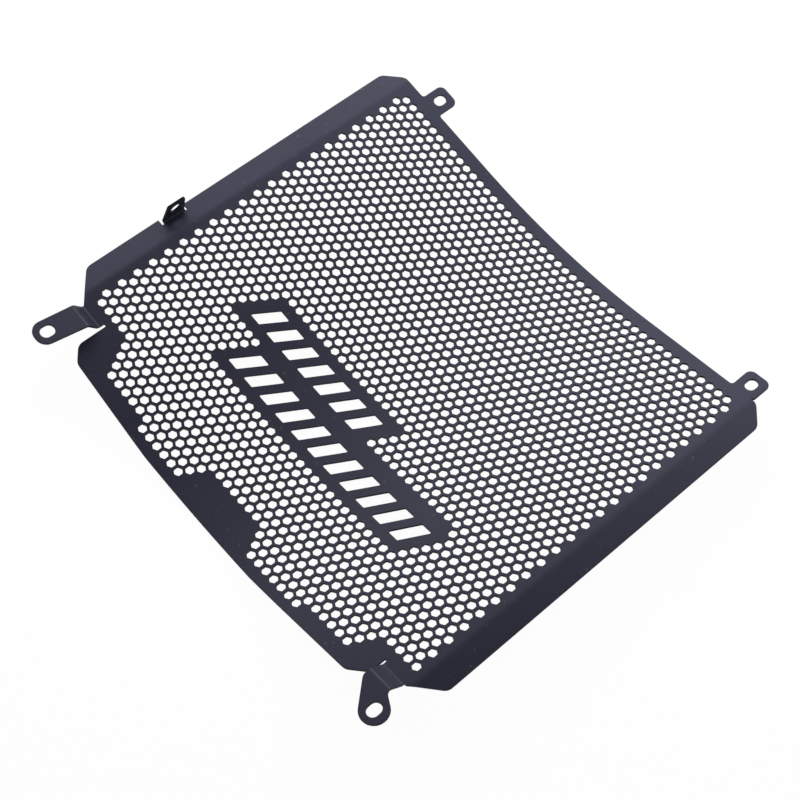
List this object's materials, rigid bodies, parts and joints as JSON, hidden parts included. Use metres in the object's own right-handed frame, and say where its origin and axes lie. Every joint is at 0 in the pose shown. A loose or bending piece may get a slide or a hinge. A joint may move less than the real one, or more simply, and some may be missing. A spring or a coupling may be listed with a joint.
{
  "type": "motorcycle radiator guard",
  "caption": "Perforated sheet-metal guard for a motorcycle radiator, rolled to a shallow curve, with folded side flanges, bolt tabs and a side ear.",
  "frame": {"origin": "under the middle of the guard's box, with the guard lying on its back", "axes": "+X across the roll to the right seen from the front, +Y towards the guard's upper edge, +Z out of its concave front"},
  "size_m": [0.309, 0.2918, 0.036],
  "materials": {
    "black_coat": "satin"
  },
  "bodies": {
    "root": {"radiator_guard": "black_coat"}
  },
  "joints": []
}
